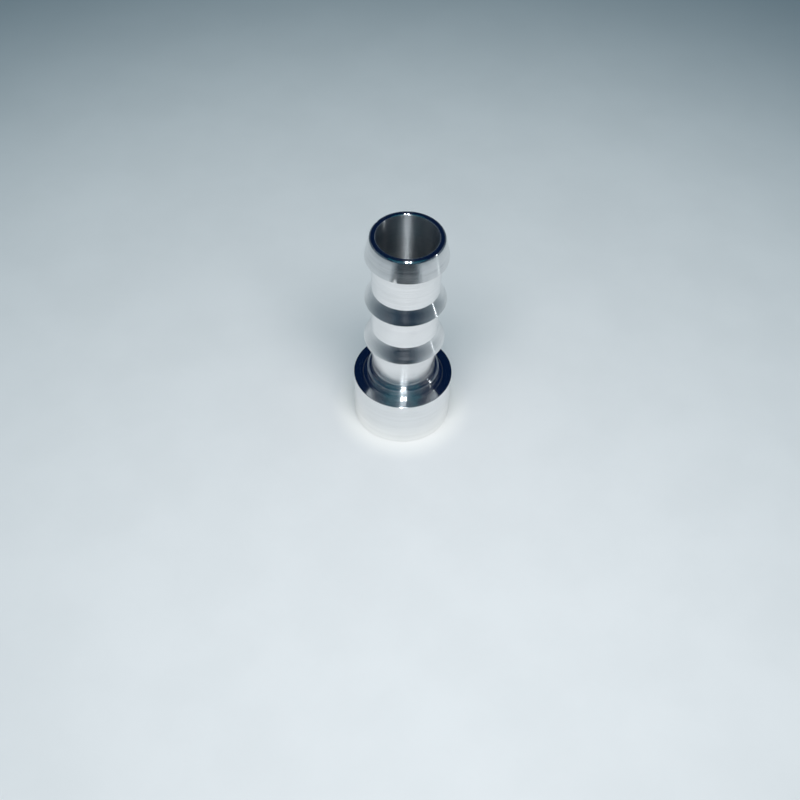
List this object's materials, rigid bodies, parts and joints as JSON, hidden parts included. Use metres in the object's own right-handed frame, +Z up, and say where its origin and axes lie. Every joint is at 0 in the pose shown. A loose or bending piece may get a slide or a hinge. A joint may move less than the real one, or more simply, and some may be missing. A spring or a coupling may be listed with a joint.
{
  "type": "carbon dioxide diffuser",
  "caption": "Hose-fed gas diffuser: turned aluminium barbed stem swivelling in a round collar that holds a check valve and a porous disc.",
  "frame": {"origin": "centre of the collar's bottom rim, on the surface that the part stands on", "axes": "+Z up along the turning axis, out of the hose end; +X along the gap of the snap ring inside"},
  "size_m": [0.022, 0.022, 0.0525],
  "materials": {
    "collar_aluminium": "fine turned, bright",
    "stem_aluminium": "fine turned, bright",
    "ring_aluminium": "turned, satin",
    "white_plastic": "smooth white sheet plastic",
    "black_rubber": "moulded, slightly glossy",
    "gasket_rubber": "translucent pale silicone, matt",
    "spring_steel": "drawn stainless steel",
    "brass": "turned",
    "valve_plastic": "machined off-white acetal",
    "porous_ceramic": "fine sintered grain"
  },
  "bodies": {
    "head": {"collar": "collar_aluminium", "thrust_washer": "white_plastic", "stem_circlip": "spring_steel", "spacer_ring": "ring_aluminium", "upper_gasket": "gasket_rubber", "porous_disc": "porous_ceramic", "lower_gasket": "gasket_rubber", "disc_retaining_ring": "ring_aluminium"},
    "stem": {"hose_stem": "stem_aluminium", "stem_o_ring": "black_rubber", "spring_retainer": "brass", "valve_spring": "spring_steel"},
    "valve": {"valve_poppet": "valve_plastic", "poppet_seal": "black_rubber"}
  },
  "joints": [
    {"name": "stem_swivel", "type": "hinge", "parent": "head", "child": "stem", "pos_m": [0, 0, 0.0085], "axis": [0, 0, 1], "continuous": true},
    {"name": "valve_lift", "type": "slide", "parent": "stem", "child": "valve", "axis": [0, 0, -1], "range_m": [0, 0.0015], "stiffness_N_per_m": 150, "springref_m": -0.002, "deforming": ["valve_spring"]}
  ]
}
